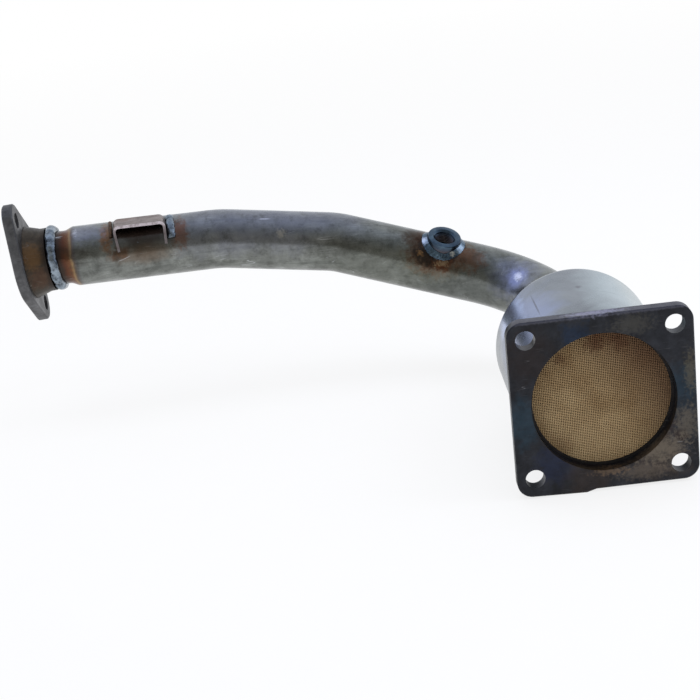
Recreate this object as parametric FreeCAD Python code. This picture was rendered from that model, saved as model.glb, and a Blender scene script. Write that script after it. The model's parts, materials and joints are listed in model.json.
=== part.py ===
import FreeCAD, Part
import math
import os

from FreeCAD import Placement, Rotation, Vector

# Close-coupled exhaust catalytic converter with its outlet pipe, in millimetres.
# Frame: the origin is the centre of the inlet gasket face, +Y runs into the can along its axis,
# +X lies along the flange's lower edge and +Z up its side. The inlet faces -Y, the pipe leaves to -X.

# Inlet flange: a square plate with one opening and four bolt holes. Its side follows from the can
# and the margin round it, its opening from the end ring and the ring's showing width.
flange_margin = 5.0
flange_thickness = 10.0
flange_corner_radius = 11.0
flange_edge_break = 0.8
ring_showing_width = 2.05
inlet_bolt_edge_distance = 13.0
inlet_bolt_hole = 14.0
# the lower edge drops at this step and rises again towards the left corner
step_drop = 2.0
step_drop_at_corner = 0.4
step_offset = 9.0
step_run = 7.0

# Can: one spun shell with its straight barrel, outlet cone and neck. Its diameter follows from the
# ceramic, the mat round it and the wall, and its barrel ends this far behind the outlet end's ring.
can_wall = 1.5
barrel_beyond_ring = 7.0
cone_length = 56.0
shoulder_radius = 12.0
neck_blend_radius = 16.0
neck_length = 20.0
neck_clearance = 0.1

# Ceramic, its mat and the two rings that guard the mat's ends
monolith_diameter = 105.7
monolith_length = 108.0
mat_thickness = 5.65
cell_pitch = 1.27
# one drawn pocket stands for this many real cells each way, which keeps the face light
cells_in_a_pocket = 4
pocket_wall = 0.7
pocket_depth = 2.0
monolith_skin = 1.6
ring_cover = 3.6
ring_thickness = 1.5
ring_skirt_length = 6.0
ring_skirt_wall = 1.2

# Pipe: outside diameter, wall, and the steps from one centreline corner to the next.
# Left is -X, back is +Y, front is -Y and up is +Z.
pipe_diameter = 50.0
pipe_wall = 1.5
pipe_engagement = 14.0
pipe_lead = 8.8
mid_step_left = 171.5
mid_step_back = 28.8
mid_step_up = 53.7
far_step_left = 96.8
far_step_up = 14.5
outlet_step_left = 142.0
outlet_step_front = 13.7
outlet_step_up = 2.8
outlet_direction = Vector(-0.9975, 0.0177, -0.068)
can_bend_radius = 70.0
mid_bend_radius = 72.0
far_bend_radius = 93.0
outlet_bend_radius = 60.0

# Swaged end of the pipe, inside and behind the collar
swage_diameter = 44.5
swage_start = 14.5
swage_taper = 6.0
swage_blend_radius = 6.0
swage_blend_length = 2.5
outlet_corner_to_face = 17.3
swage_engagement = 9.5

# Outlet collar: a flared cup, welded to the swaged end
collar_small_diameter = 53.0
collar_large_diameter = 61.0
collar_wall = 3.0
collar_length = 17.5
collar_land = 5.0
collar_clearance = 0.4
collar_recess = 1.5

# Outlet flange: a two-bolt oval plate
outlet_flange_thickness = 9.0
outlet_bolt_spacing = 90.0
outlet_bolt_hole = 13.0
outlet_lobe_radius = 14.2
outlet_waist_radius = 35.5
outlet_clocking = 22.8
outlet_edge_break = 1.0

# Sensor boss: M18 x 1.5 threaded ring, seated on the pipe
boss_run_length = 90.0
boss_tilt = 19.5
boss_diameter = 28.4
boss_height = 30.2
boss_length = 12.2
boss_bore = 16.4
boss_mouth = 19.5
boss_spigot = 22.0
boss_hole_clearance = 0.2
boss_edge_break = 1.0

# Mounting bracket: a strip bent to a channel, its legs cut to sit on the pipe
bracket_run_length = 75.7
bracket_length = 44.0
bracket_width = 25.0
bracket_thickness = 2.2
bracket_bend_radius = 5.0
bracket_outer_leg = 22.0
bracket_inner_leg = 19.6
bracket_leg_lean = 6.0
bracket_seat_clearance = 0.1

# Weld beads
inlet_weld_leg = 4.0
neck_weld_width = 6.0
neck_weld_height = 2.4
collar_weld_width = 8.5
collar_weld_height = 5.0
flange_weld_leg = 2.2
boss_weld_width = 4.8
boss_weld_height = 3.0
bracket_bead_height = 3.2
bracket_bead_width = 7.6
bracket_bead_angles = (12.0, 63.0)
bracket_seam_height = 1.8
bracket_seam_width = 3.2
bracket_seam_angles = (4.0, 48.0)

# Sizes that follow from the ones above
can_radius = monolith_diameter / 2 + mat_thickness + can_wall
ring_bore = monolith_diameter - 2 * ring_cover
flange_side = 2 * (can_radius + flange_margin)
flange_opening = ring_bore + 2 * ring_showing_width
inlet_bolt_spacing = flange_side - 2 * inlet_bolt_edge_distance
pipe_radius = pipe_diameter / 2
swage_radius = swage_diameter / 2
neck_radius = pipe_radius + neck_clearance + can_wall
monolith_face = flange_thickness + ring_thickness
monolith_end = monolith_face + monolith_length
barrel_end = monolith_end + ring_thickness + barrel_beyond_ring
neck_corner = barrel_end + cone_length
shell_end = neck_corner + neck_length
run_can_to_mid = Vector(-mid_step_left, mid_step_back, mid_step_up)
run_mid_to_far = Vector(-far_step_left, 0, far_step_up)
run_far_to_outlet = Vector(-outlet_step_left, -outlet_step_front, outlet_step_up)
X_AXIS = Vector(1, 0, 0)
Y_AXIS = Vector(0, 1, 0)
Z_AXIS = Vector(0, 0, 1)


def unit(vector):
    """The vector's direction, as a new vector of length one."""
    result = Vector(vector)
    result.normalize()
    return result


def turn_between(before, after):
    """The angle in radians by which a path turns from one run to the next."""
    return before.getAngle(after)


def frame_at(origin, axis, upward):
    """A placement with local Z along axis, and local X as near upward as a square frame allows."""
    z = unit(axis)
    x = unit(upward - z * z.dot(upward))
    y = z.cross(x)
    matrix = FreeCAD.Matrix(
        x.x, y.x, z.x, origin.x,
        x.y, y.y, z.y, origin.y,
        x.z, y.z, z.z, origin.z,
        0, 0, 0, 1,
    )
    return Placement(matrix)


def placed(shape, placement):
    """A copy of a shape moved from its local frame into the part's frame."""
    copy = shape.copy()
    copy.transformShape(placement.toMatrix(), True)
    return copy


def rounded_wire(points, radii, closed):
    """Straight runs through the points, with a tangent arc at each corner whose radius isn't zero."""
    count = len(points)
    edges = []
    cursor = None
    start = None
    for index in range(count):
        here = points[index]
        is_end = not closed and index in (0, count - 1)
        if is_end or radii[index] == 0:
            if cursor is not None:
                edges.append(Part.LineSegment(cursor, here).toShape())
            cursor = here
            start = start or here
            continue
        back = unit(points[index - 1] - here)
        ahead = unit(points[(index + 1) % count] - here)
        half = back.getAngle(ahead) / 2
        reach = radii[index] / math.tan(half)
        enter = here + back * reach
        leave = here + ahead * reach
        centre = here + unit(back + ahead) * (radii[index] / math.sin(half))
        middle = centre + unit(here - centre) * radii[index]
        if cursor is not None and cursor.distanceToPoint(enter) > 1e-6:
            edges.append(Part.LineSegment(cursor, enter).toShape())
        edges.append(Part.Arc(enter, middle, leave).toShape())
        start = start or enter
        cursor = leave
    if closed:
        edges.append(Part.LineSegment(cursor, start).toShape())
    return Part.Wire(edges)


def revolved(wire):
    """A closed profile in the local XZ plane, turned about local Z: X is radius, Z is height."""
    return Part.Face(wire).revolve(Vector(0, 0, 0), Z_AXIS, 360)


def turned(points, radii=None):
    """A turned solid from (radius, height) corners, each with its own rounding radius."""
    corners = [Vector(radius, 0, height) for radius, height in points]
    return revolved(rounded_wire(corners, radii or [0] * len(corners), True))


def tube(radius, bottom, top):
    """A plain round bar about local Z between two heights."""
    return Part.makeCylinder(radius, top - bottom, Vector(0, 0, bottom))


def swept_bar(points, radii, radius):
    """A round bar that follows straight runs joined by tangent arcs."""
    path = rounded_wire(points, radii, False)
    first = unit(points[1] - points[0])
    section = Part.Wire([Part.makeCircle(radius, points[0], first)])
    return path.makePipeShell([section], True, False)


# The can's own frame has its Z along +Y of the part and its X along +X
can_frame = frame_at(Vector(0, 0, 0), Y_AXIS, X_AXIS)

# Centreline of the pipe, from the can to the outlet flange
can_bend_turn = turn_between(Y_AXIS, run_can_to_mid)
can_bend_reach = can_bend_radius * math.tan(can_bend_turn / 2)
pipe_start = Vector(0, shell_end - pipe_engagement, 0)
can_corner = Vector(0, shell_end + pipe_lead + can_bend_reach, 0)
mid_corner = can_corner + run_can_to_mid
far_corner = mid_corner + run_mid_to_far
outlet_corner = far_corner + run_far_to_outlet
outlet_face = outlet_corner + unit(outlet_direction) * outlet_corner_to_face
pipe_end = outlet_face - unit(outlet_direction) * swage_engagement

# The outlet's frame stands on the flange's pipe side, with Z towards the pipe
outlet_frame = frame_at(outlet_face, outlet_direction * -1, Z_AXIS)
far_run = unit(run_far_to_outlet * -1)
swage_low = outlet_corner + far_run * (swage_start - swage_blend_length)
swage_high = outlet_corner + far_run * (swage_start + swage_taper + swage_blend_length)
bracket_frame = frame_at(outlet_corner + far_run * bracket_run_length, far_run, Z_AXIS)
boss_run = unit(run_can_to_mid * -1)
boss_base = mid_corner + boss_run * boss_run_length
boss_upright = unit(Z_AXIS - boss_run * boss_run.dot(Z_AXIS))
boss_axis = Rotation(boss_run, boss_tilt).multVec(boss_upright)
boss_frame = frame_at(boss_base, boss_axis, boss_run)


def inlet_flange():
    """Square plate: rounded corners, stepped lower edge, opening and four bolt holes."""
    half = flange_side / 2
    corners = [
        (-half, half), (half, half), (half, -half),
        (-step_offset, -half), (-step_offset - step_run, -half - step_drop), (-half, -half - step_drop_at_corner),
    ]
    rounding = [flange_corner_radius] * 3 + [step_drop, step_drop, flange_corner_radius]
    outline = rounded_wire([Vector(x, 0, z) for x, z in corners], rounding, True)
    plate = Part.Face(outline).extrude(Y_AXIS * flange_thickness)
    rim = [edge for edge in plate.Edges if edge.BoundBox.YLength < 1e-6]
    plate = plate.makeChamfer(flange_edge_break, rim)
    cutters = [Part.makeCylinder(flange_opening / 2, flange_thickness, Vector(0, 0, 0), Y_AXIS)]
    pitch = inlet_bolt_spacing / 2
    for x in (-pitch, pitch):
        for z in (-pitch, pitch):
            cutters.append(Part.makeCylinder(inlet_bolt_hole / 2, flange_thickness, Vector(x, 0, z), Y_AXIS))
    return plate.cut(cutters)


def can_shell():
    """One spun shell: barrel, shoulder, cone and neck, with the same wall all along."""
    slope = math.atan2(can_radius - neck_radius, cone_length)
    shift = can_wall * math.tan(slope / 2)
    outer = [
        (can_radius, flange_thickness), (can_radius, barrel_end),
        (neck_radius, neck_corner), (neck_radius, shell_end),
    ]
    inner = [
        (neck_radius - can_wall, shell_end), (neck_radius - can_wall, neck_corner - shift),
        (can_radius - can_wall, barrel_end - shift), (can_radius - can_wall, flange_thickness),
    ]
    rounding = [0, shoulder_radius, neck_blend_radius, 0]
    inner_rounding = [0, neck_blend_radius + can_wall, shoulder_radius - can_wall, 0]
    return placed(turned(outer + inner, rounding + inner_rounding), can_frame)


def cell_outlines(limit):
    """Square outlines of the drawn pockets that lie wholly inside a circle of this radius."""
    pitch = cell_pitch * cells_in_a_pocket
    half = (pitch - pocket_wall) / 2
    reach = int(limit / pitch)
    outlines = []
    for column in range(-reach, reach + 1):
        for row in range(-reach, reach + 1):
            x = column * pitch
            y = row * pitch
            if math.hypot(abs(x) + half, abs(y) + half) > limit:
                continue
            corners = [(x - half, y - half), (x + half, y - half), (x + half, y + half), (x - half, y + half)]
            outlines.append(Part.makePolygon([Vector(a, b, 0) for a, b in corners + corners[:1]]))
    return outlines


def catalyst_monolith():
    """Round ceramic brick whose inlet face is a grid of square pockets."""
    radius = monolith_diameter / 2
    rim = Part.Wire([Part.makeCircle(radius)])
    outlines = Part.Compound([rim] + cell_outlines(radius - monolith_skin))
    grid = Part.makeFace(outlines, "Part::FaceMakerBullseye").extrude(Z_AXIS * pocket_depth)
    core = tube(radius, pocket_depth, monolith_length)
    brick = grid.fuse(core).removeSplitter()
    brick.translate(Vector(0, 0, monolith_face))
    return placed(brick, can_frame)


def support_mat():
    """Expanding mat, wrapped round the ceramic between the two end rings' skirts."""
    start = monolith_face + ring_skirt_length
    end = monolith_end - ring_skirt_length
    inner = monolith_diameter / 2
    outer = can_radius - can_wall
    return placed(turned([(inner, start), (outer, start), (outer, end), (inner, end)]), can_frame)


def end_ring(edge, direction):
    """Pressed ring over one end of the ceramic: a washer with a skirt along the can's wall."""
    outer = can_radius - can_wall
    inner = outer - ring_skirt_wall
    washer = edge - direction * ring_thickness
    skirt = edge + direction * ring_skirt_length
    corners = [
        (ring_bore / 2, washer), (outer, washer), (outer, skirt),
        (inner, skirt), (inner, edge), (ring_bore / 2, edge),
    ]
    return placed(turned(corners), can_frame)


def swage_bar(inset):
    """The turned stretch between the swaged end and the full pipe, with both of its corners blended."""
    narrow = swage_radius - inset
    full = pipe_radius - inset
    length = swage_taper + 2 * swage_blend_length
    corners = [
        (0, 0), (narrow, 0), (narrow, swage_blend_length),
        (full, swage_blend_length + swage_taper), (full, length), (0, length),
    ]
    bar = turned(corners, [0, 0, swage_blend_radius, swage_blend_radius, 0, 0])
    return placed(bar, frame_at(swage_low, far_run, Z_AXIS))


def downpipe_bar(inset):
    """The pipe's outer form when inset is zero, or its bore when inset is the wall."""
    full = swept_bar(
        [pipe_start, can_corner, mid_corner, far_corner, swage_high],
        [0, can_bend_radius, mid_bend_radius, far_bend_radius, 0],
        pipe_radius - inset,
    )
    narrow = swept_bar(
        [swage_low, outlet_corner, pipe_end],
        [0, outlet_bend_radius, 0],
        swage_radius - inset,
    )
    return full.fuse([swage_bar(inset), narrow])


def downpipe():
    """Bent tube with a swaged outlet end and the hole that the sensor boss sits in."""
    hole_radius = boss_spigot / 2 + boss_hole_clearance
    hole = placed(tube(hole_radius, 0, boss_height), boss_frame)
    return downpipe_bar(0).cut([downpipe_bar(pipe_wall), hole])


def run_bar(radius):
    """A straight bar about the centreline of the run that carries the boss, its seam turned away."""
    seam_away = frame_at(boss_base, boss_run, boss_axis * -1)
    return placed(tube(radius, -boss_diameter, boss_diameter), seam_away)


def sensor_boss():
    """Turned ring with a threaded bore, its foot cut to the pipe and its spigot through the pipe's wall."""
    bore = boss_bore / 2
    rim = boss_diameter / 2
    spigot = boss_spigot / 2
    foot = boss_height - boss_length
    head = turned(
        [
            (bore, 0), (rim, 0), (rim, boss_height - boss_edge_break), (rim - boss_edge_break, boss_height),
            (boss_mouth / 2, boss_height), (bore, boss_height - (boss_mouth / 2 - bore)),
        ]
    )
    stem = turned([(bore, foot), (spigot, foot), (spigot, pipe_radius), (bore, pipe_radius)])
    return placed(head, boss_frame).cut(run_bar(pipe_radius)).fuse(placed(stem, boss_frame)).removeSplitter()


def sensor_boss_weld():
    """Fillet bead laid in the corner between the boss and the pipe, all the way round."""
    pipe = run_bar(pipe_radius)
    stub = placed(tube(boss_diameter / 2, 0, boss_height), boss_frame)
    joined = pipe.fuse(stub)
    saddle = [edge for edge in joined.Edges if not isinstance(edge.Curve, (Part.Line, Part.Circle))]
    return joined.makeChamfer(boss_weld_width, boss_weld_height, saddle).cut(joined)


def mounting_bracket():
    """Channel bent from strip: a web across the pipe's top and two legs cut to the pipe's side."""
    top = pipe_radius + bracket_seat_clearance + bracket_thickness
    half = bracket_length / 2
    inner_top = top - bracket_thickness
    inner_half = half - bracket_thickness
    lean = bracket_outer_leg * math.tan(math.radians(bracket_leg_lean))
    outer_foot = top - bracket_outer_leg
    inner_foot = top - bracket_inner_leg
    corners = [
        (outer_foot, lean - half), (top, -half), (top, half), (inner_foot, half),
        (inner_foot, inner_half), (inner_top, inner_half), (inner_top, -inner_half), (outer_foot, lean - inner_half),
    ]
    inside_radius = bracket_bend_radius - bracket_thickness
    rounding = [0, bracket_bend_radius, bracket_bend_radius, 0, 0, inside_radius, inside_radius, 0]
    profile = rounded_wire([Vector(height, 0, along) for height, along in corners], rounding, True)
    strip = Part.Face(profile).extrude(Y_AXIS * bracket_width)
    pipe = Part.makeCylinder(pipe_radius + bracket_seat_clearance, 2 * bracket_length,
                             Vector(0, 0, -bracket_length))
    return placed(strip.cut(pipe), bracket_frame)


def lens_profile(surface, low, high, height):
    """A bead's section on a round surface: a flat chord sunk a little into it, with an arc over it."""
    root = surface - height / 4
    crown = Part.Arc(Vector(root, 0, low), Vector(surface + height, 0, (low + high) / 2), Vector(root, 0, high))
    chord = Part.LineSegment(Vector(root, 0, high), Vector(root, 0, low))
    return Part.Face(Part.Wire([crown.toShape(), chord.toShape()]))


def bracket_bead(low, high, height, angles):
    """A bead laid round the pipe on the outside of one leg, between two angles from its top."""
    profile = lens_profile(pipe_radius, low, high, height)
    profile.rotate(Vector(0, 0, 0), Z_AXIS, angles[0])
    bead = profile.revolve(Vector(0, 0, 0), Z_AXIS, angles[1] - angles[0])
    pipe = Part.makeCylinder(pipe_radius, 2 * bracket_length, Vector(0, 0, -bracket_length))
    return placed(bead.cut(pipe), bracket_frame)


def bracket_weld_inner():
    """Heavy bead on the leg that is nearer the can."""
    low = bracket_length / 2
    bead = bracket_bead(low, low + bracket_bead_width, bracket_bead_height, bracket_bead_angles)
    return bead.cut(mounting_bracket())


def bracket_weld_outer():
    """Thin seam on the leg that is nearer the outlet."""
    high = -bracket_length / 2
    seam = bracket_bead(high - bracket_seam_width, high, bracket_seam_height, bracket_seam_angles)
    return seam.cut(mounting_bracket())


def outlet_collar():
    """Flared cup: a land on the swaged pipe, a curved flare, and a spigot through the flange."""
    small = collar_small_diameter / 2
    large = collar_large_diameter / 2
    bore = swage_radius + collar_clearance
    mouth = -outlet_flange_thickness + collar_recess
    flare = collar_length - collar_land
    outer = [(large, mouth), (large, 0), (small, flare), (small, collar_length)]
    inner = [
        (bore, collar_length), (bore, flare), (large - collar_wall, 0), (large - collar_wall, mouth),
    ]
    blend = flare / 2
    return placed(turned(outer + inner, [0, blend, blend, 0, 0, blend, blend, 0]), outlet_frame)


def outlet_outline():
    """Oval of a waist circle and two bolt lobes, joined by their common tangents."""
    offset = outlet_bolt_spacing / 2
    lean = math.acos((outlet_waist_radius - outlet_lobe_radius) / offset)

    def on_circle(centre, radius, angle):
        return Vector(centre + radius * math.cos(angle), radius * math.sin(angle), 0)

    right = math.pi - lean
    edges = [
        Part.Arc(on_circle(offset, outlet_lobe_radius, -lean), on_circle(offset, outlet_lobe_radius, 0),
                 on_circle(offset, outlet_lobe_radius, lean)),
        Part.LineSegment(on_circle(offset, outlet_lobe_radius, lean), on_circle(0, outlet_waist_radius, lean)),
        Part.Arc(on_circle(0, outlet_waist_radius, lean), on_circle(0, outlet_waist_radius, math.pi / 2),
                 on_circle(0, outlet_waist_radius, right)),
        Part.LineSegment(on_circle(0, outlet_waist_radius, right), on_circle(-offset, outlet_lobe_radius, right)),
        Part.Arc(on_circle(-offset, outlet_lobe_radius, right), on_circle(-offset, outlet_lobe_radius, math.pi),
                 on_circle(-offset, outlet_lobe_radius, -right)),
        Part.LineSegment(on_circle(-offset, outlet_lobe_radius, -right), on_circle(0, outlet_waist_radius, -right)),
        Part.Arc(on_circle(0, outlet_waist_radius, -right), on_circle(0, outlet_waist_radius, -math.pi / 2),
                 on_circle(0, outlet_waist_radius, -lean)),
        Part.LineSegment(on_circle(0, outlet_waist_radius, -lean), on_circle(offset, outlet_lobe_radius, -lean)),
    ]
    return Part.Wire([edge.toShape() for edge in edges])


def outlet_flange():
    """Two-bolt oval plate that the collar's spigot passes into."""
    plate = Part.Face(outlet_outline()).extrude(Z_AXIS * -outlet_flange_thickness)
    rim = [edge for edge in plate.Edges if edge.BoundBox.ZLength < 1e-6]
    plate = plate.makeChamfer(outlet_edge_break, rim)
    cutters = [tube(collar_large_diameter / 2, -outlet_flange_thickness, 0)]
    for side in (-1, 1):
        hole = tube(outlet_bolt_hole / 2, -outlet_flange_thickness, 0)
        hole.translate(Vector(side * outlet_bolt_spacing / 2, 0, 0))
        cutters.append(hole)
    plate = plate.cut(cutters)
    plate.rotate(Vector(0, 0, 0), Z_AXIS, outlet_clocking)
    return placed(plate, outlet_frame)


def inlet_flange_weld():
    """Fillet bead in the corner between the can and the back of the inlet flange."""
    inner = can_radius
    back = flange_thickness
    return placed(turned([(inner, back), (inner + inlet_weld_leg, back), (inner, back + inlet_weld_leg)]), can_frame)


def neck_weld():
    """Bead round the pipe at the end of the can's neck."""
    low = shell_end
    profile = lens_profile(pipe_radius, low, low + neck_weld_width, neck_weld_height)
    bead = profile.revolve(Vector(0, 0, 0), Z_AXIS, 360)
    return placed(bead.cut(tube(pipe_radius, 0, low + 2 * neck_weld_width)), can_frame)


def collar_weld():
    """Thick bead round the swaged end, against the collar."""
    low = collar_length
    profile = lens_profile(swage_radius, low, low + collar_weld_width, collar_weld_height)
    bead = placed(profile.revolve(Vector(0, 0, 0), Z_AXIS, 360), outlet_frame)
    return bead.cut([downpipe_bar(0), outlet_collar()])


def outlet_flange_weld():
    """Small fillet between the collar's end and the flange's bore, below the gasket face."""
    outer = collar_large_diameter / 2
    end = -outlet_flange_thickness + collar_recess
    corners = [(outer, end), (outer, end - collar_recess), (outer - flange_weld_leg, end)]
    return placed(turned(corners), outlet_frame)


PIECES = {
    "inlet_flange": inlet_flange,
    "can_shell": can_shell,
    "catalyst_monolith": catalyst_monolith,
    "support_mat": support_mat,
    "inlet_end_ring": lambda: end_ring(monolith_face, 1),
    "outlet_end_ring": lambda: end_ring(monolith_end, -1),
    "downpipe": downpipe,
    "sensor_boss": sensor_boss,
    "sensor_boss_weld": sensor_boss_weld,
    "mounting_bracket": mounting_bracket,
    "bracket_weld_inner": bracket_weld_inner,
    "bracket_weld_outer": bracket_weld_outer,
    "outlet_collar": outlet_collar,
    "outlet_flange": outlet_flange,
    "inlet_flange_weld": inlet_flange_weld,
    "neck_weld": neck_weld,
    "collar_weld": collar_weld,
    "outlet_flange_weld": outlet_flange_weld,
}


def main():
    """Builds every piece and writes one STEP file for each."""
    os.makedirs("parts", exist_ok=True)
    for name, build in PIECES.items():
        shape = build()
        if len(shape.Solids) == 1:
            shape = shape.Solids[0]
        print(name, len(shape.Solids), shape.isValid(), round(shape.Volume, 1))
        shape.exportStep(os.path.join("parts", name + ".step"))


main()
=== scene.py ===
"""Looks of a flange-mounted exhaust catalytic converter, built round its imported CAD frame.

The CAD nodes carry every size. This script gives each node its finish, replaces the plain stand-ins
(ceramic face, threaded boss, weld beads) with detailed meshes, and sets the studio and the camera.
Lengths are in metres, as in the frame. Values named _mm are millimetres.
"""

import json
import logging
import math
from dataclasses import dataclass, field
from enum import Enum
from functools import cache

import bmesh
import bpy
from bpy.types import Material, Mesh, Node, NodeSocket, NodeTree, Object
from mathutils import Matrix, Quaternion, Vector


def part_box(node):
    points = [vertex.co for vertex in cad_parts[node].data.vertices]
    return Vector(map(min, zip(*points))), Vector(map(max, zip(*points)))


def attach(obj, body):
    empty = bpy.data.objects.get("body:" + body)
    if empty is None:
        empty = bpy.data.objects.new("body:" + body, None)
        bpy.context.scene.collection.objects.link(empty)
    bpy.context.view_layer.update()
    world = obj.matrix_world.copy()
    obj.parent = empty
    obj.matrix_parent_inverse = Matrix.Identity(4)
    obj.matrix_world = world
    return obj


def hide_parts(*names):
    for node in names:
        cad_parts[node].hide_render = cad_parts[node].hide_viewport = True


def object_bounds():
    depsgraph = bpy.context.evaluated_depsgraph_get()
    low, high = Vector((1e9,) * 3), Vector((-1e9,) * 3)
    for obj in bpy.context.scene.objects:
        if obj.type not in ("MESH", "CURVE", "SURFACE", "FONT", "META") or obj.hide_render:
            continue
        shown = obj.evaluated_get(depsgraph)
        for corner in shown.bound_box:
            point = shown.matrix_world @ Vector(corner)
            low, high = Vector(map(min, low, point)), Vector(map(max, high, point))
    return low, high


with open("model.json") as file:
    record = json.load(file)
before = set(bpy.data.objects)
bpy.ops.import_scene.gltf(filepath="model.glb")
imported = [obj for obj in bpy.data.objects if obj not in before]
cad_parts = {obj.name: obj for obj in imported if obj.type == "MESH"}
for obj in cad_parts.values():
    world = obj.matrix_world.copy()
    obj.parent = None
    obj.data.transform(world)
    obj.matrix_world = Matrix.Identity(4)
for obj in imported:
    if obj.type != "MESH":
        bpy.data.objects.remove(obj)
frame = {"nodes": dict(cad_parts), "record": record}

MM = 0.001
ROOT = "root"
CAD_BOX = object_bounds()
LOG = logging.getLogger("converter")
RECORD = frame["record"]
WHITE = (1.0, 1.0, 1.0, 1.0)
SAME_PLACE = 0.002 * MM

# the kinds of node used most, and a Mix node's sockets for colours, whose names its other kinds share
MATH, VECTOR_MATH, NOISE = "ShaderNodeMath", "ShaderNodeVectorMath", "ShaderNodeTexNoise"
MAP_RANGE, MIX, BUMP = "ShaderNodeMapRange", "ShaderNodeMix", "ShaderNodeBump"
FIRST, SECOND = 6, 7
RGBA = {"data_type": "RGBA", "out": 2}

Triple = tuple[float, float, float]
Stops = tuple[tuple[float, str, float], ...]


def linear(code: str) -> tuple[float, float, float, float]:
    """Turns an sRGB hex colour into the linear colour that a shader takes.

    Args:
        code: the colour, such as "#8A8C90".
    Returns:
        Linear red, green, blue and an alpha of one.
    """
    parts = [int(code[i:i + 2], 16) / 255 for i in (1, 3, 5)]
    red, green, blue = (c / 12.92 if c <= 0.04045 else ((c + 0.055) / 1.055) ** 2.4 for c in parts)
    return red, green, blue, 1.0


def fill(node: Node, inputs: dict) -> None:
    """Sets a node's inputs.

    Args:
        node: the node.
        inputs: socket name or number to a value, or to the output socket that feeds it.
    """
    for name, value in inputs.items():
        if isinstance(value, NodeSocket):
            node.id_data.links.new(value, node.inputs[name])
        else:
            node.inputs[name].default_value = value


def add(tree: NodeTree, kind: str, inputs: dict | None = None, out: int | str | None = 0, stops: Stops = (),
        **settings) -> NodeSocket | Node:
    """Adds a node with its settings, values and links.

    Args:
        tree: the node tree that gets the node.
        kind: the node's type name.
        inputs: what the node's inputs get, as for fill.
        out: the output to return, by name or number, or None for the node itself.
        stops: a colour ramp's (place, hex colour, alpha) entries.
        settings: attributes of the node.
    Returns:
        The output's socket, or the node.
    """
    node = tree.nodes.new(kind)
    for name, value in settings.items():
        setattr(node, name, value)
    if stops:
        elements = node.color_ramp.elements
        while len(elements) < len(stops):
            elements.new(1.0)
        for element, (place, code, alpha) in zip(elements, stops):
            element.position = place
            element.color = linear(code)[:3] + (alpha,)
    fill(node, inputs or {})
    return node if out is None else node.outputs[out]


def mount_at(name: str) -> tuple[Vector, Vector]:
    """The place and direction of one of the record's mounts.

    Args:
        name: the mount's name.
    Returns:
        Its position in metres and its axis.
    """
    found = next(m for m in RECORD["mounts"] if m["name"] == name)
    return Vector(found["pos_m"]), Vector(found["axis"]).normalized()


def square_frame(axis: Vector) -> tuple[Vector, Vector]:
    """Two unit directions that are square to an axis and to each other."""
    first = axis.orthogonal().normalized()
    return first, axis.cross(first).normalized()


def middle(node: str) -> Vector:
    """The middle of a CAD node's box."""
    low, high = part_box(node)
    return (low + high) / 2


def as_mm(place: Vector) -> Triple:
    """A place in metres as millimetres."""
    return tuple(c / MM for c in place)


# ---------------------------------------------------------------- finishes


def blank_material(name: str) -> tuple[Material, NodeTree, Node]:
    """Starts a node material.

    Args:
        name: the material's name.
    Returns:
        The material, its tree and its shader.
    """
    material = bpy.data.materials.new(name)
    material.use_nodes = True
    return material, material.node_tree, material.node_tree.nodes["Principled BSDF"]


def surface_mm(tree: NodeTree) -> NodeSocket:
    """The surface's place on Object coordinates, in millimetres."""
    place = add(tree, "ShaderNodeTexCoord", out="Object")
    return add(tree, VECTOR_MATH, {0: place, "Scale": 1 / MM}, operation="SCALE")


class Lay(Enum):
    """Which way the marks of a steel's making run."""

    ALONG_X = (0.03, 1.0, 1.0)
    ROUND_Y = (1.0, 0.06, 1.0)
    NONE = (1.0, 1.0, 1.0)


@dataclass(frozen=True)
class Tint:
    """A cloud of colour round a spot: temper colours and rust, and also painted sheen, highlights and shade.

    The stops run outwards from start_mm to end_mm, and the edge wanders by wander_mm in patches of grain_mm.
    With a direction in along, the distance is measured along it only, which gives a band.
    """

    centre: Triple
    start_mm: float
    end_mm: float
    stops: Stops
    wander_mm: float
    grain_mm: float
    stretch: Triple = (1.0, 1.0, 1.0)
    along: Triple | None = None

    def laid_over(self, tree: NodeTree, in_mm: NodeSocket, colour: NodeSocket) -> NodeSocket:
        """Lays the tint over a colour.

        Args:
            tree: the material's tree.
            in_mm: the surface's place in millimetres.
            colour: the colour below.
        Returns:
            The tinted colour's socket.
        """
        offset = add(tree, VECTOR_MATH, {0: in_mm, 1: self.centre}, operation="SUBTRACT")
        if self.along:
            away = add(tree, VECTOR_MATH, {0: offset, 1: self.along}, "Value", operation="DOT_PRODUCT")
        else:
            scaled = add(tree, VECTOR_MATH, {0: offset, 1: self.stretch}, operation="MULTIPLY")
            away = add(tree, VECTOR_MATH, {0: scaled}, "Value", operation="LENGTH")
        wobble = add(tree, NOISE, {"Vector": in_mm, "Scale": 1 / self.grain_mm, "Detail": 5.0, "Roughness": 0.6})
        shift = add(tree, MAP_RANGE, {
            "Value": wobble, "From Min": 0.3, "From Max": 0.7, "To Min": -self.wander_mm,
            "To Max": self.wander_mm}, clamp=False)
        moved = add(tree, MATH, {0: away, 1: shift}, operation="ADD")
        outward = add(tree, MAP_RANGE, {"Value": moved, "From Min": self.start_mm, "From Max": self.end_mm})
        ramp = add(tree, "ShaderNodeValToRGB", {0: outward}, None, self.stops).outputs
        return add(tree, MIX, {0: ramp["Alpha"], FIRST: colour, SECOND: ramp["Color"]}, **RGBA)


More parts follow.
